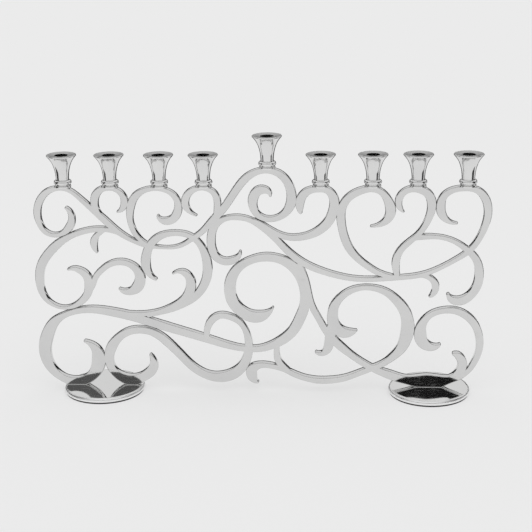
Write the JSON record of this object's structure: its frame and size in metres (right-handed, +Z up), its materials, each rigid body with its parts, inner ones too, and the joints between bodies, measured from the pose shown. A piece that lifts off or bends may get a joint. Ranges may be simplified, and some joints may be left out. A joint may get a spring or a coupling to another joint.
{
  "type": "menorah",
  "caption": "Flat openwork scroll panel of polished metal on round disc feet, with a row of flared candle cups along its top and a raised middle cup.",
  "frame": {"origin": "middle of the bounding box, on the table", "axes": "+X along the row of cups to the viewer's right, +Y away from the viewer, +Z up"},
  "size_m": [0.3588, 0.0648, 0.2096],
  "materials": {
    "cast_metal": "polished casting",
    "turned_metal": "mirror polished",
    "disc_metal": "mirror polished",
    "fastener": "plain",
    "pad": "matt"
  },
  "bodies": {
    "root": {"scroll_panel": "cast_metal", "collar_left_1": "turned_metal", "cup_left_1": "turned_metal", "stud_left_1": "fastener", "collar_left_2": "turned_metal", "cup_left_2": "turned_metal", "stud_left_2": "fastener", "collar_left_3": "turned_metal", "cup_left_3": "turned_metal", "stud_left_3": "fastener", "collar_left_4": "turned_metal", "cup_left_4": "turned_metal", "stud_left_4": "fastener", "collar_centre": "turned_metal", "cup_centre": "turned_metal", "stud_centre": "fastener", "collar_right_1": "turned_metal", "cup_right_1": "turned_metal", "stud_right_1": "fastener", "collar_right_2": "turned_metal", "cup_right_2": "turned_metal", "stud_right_2": "fastener", "collar_right_3": "turned_metal", "cup_right_3": "turned_metal", "stud_right_3": "fastener", "collar_right_4": "turned_metal", "cup_right_4": "turned_metal", "stud_right_4": "fastener", "disc_left": "disc_metal", "pad_left": "pad", "screw_left_1": "fastener", "screw_left_2": "fastener", "disc_right": "disc_metal", "pad_right": "pad", "screw_right_1": "fastener", "screw_right_2": "fastener"}
  },
  "joints": []
}
